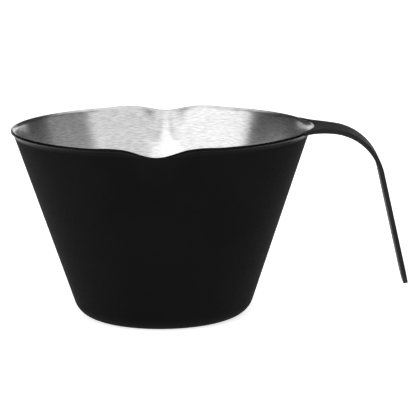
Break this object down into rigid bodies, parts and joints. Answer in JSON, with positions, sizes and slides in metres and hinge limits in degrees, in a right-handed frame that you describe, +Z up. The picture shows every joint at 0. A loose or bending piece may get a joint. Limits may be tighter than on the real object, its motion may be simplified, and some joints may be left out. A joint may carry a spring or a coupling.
{
  "type": "pouring cup",
  "caption": "Small conical steel pouring cup, black outside, with a pouring spout at front and back and a flat strip handle bent down from the rim.",
  "frame": {"origin": "centre of the cup's flat resting face", "axes": "+Z up along the cup's axis, +X towards the handle, the spouts towards -Y and +Y"},
  "size_m": [0.1061, 0.0842, 0.0514],
  "materials": {
    "steel": "circumferential brushing",
    "black_coat": "satin, fine texture",
    "black_strip": "satin, fine texture",
    "black_weld": "coated weld bead"
  },
  "bodies": {
    "root": {"cup_shell": "steel", "outer_coating": "black_coat", "handle_strip": "black_strip", "handle_weld": "black_weld"}
  },
  "joints": []
}
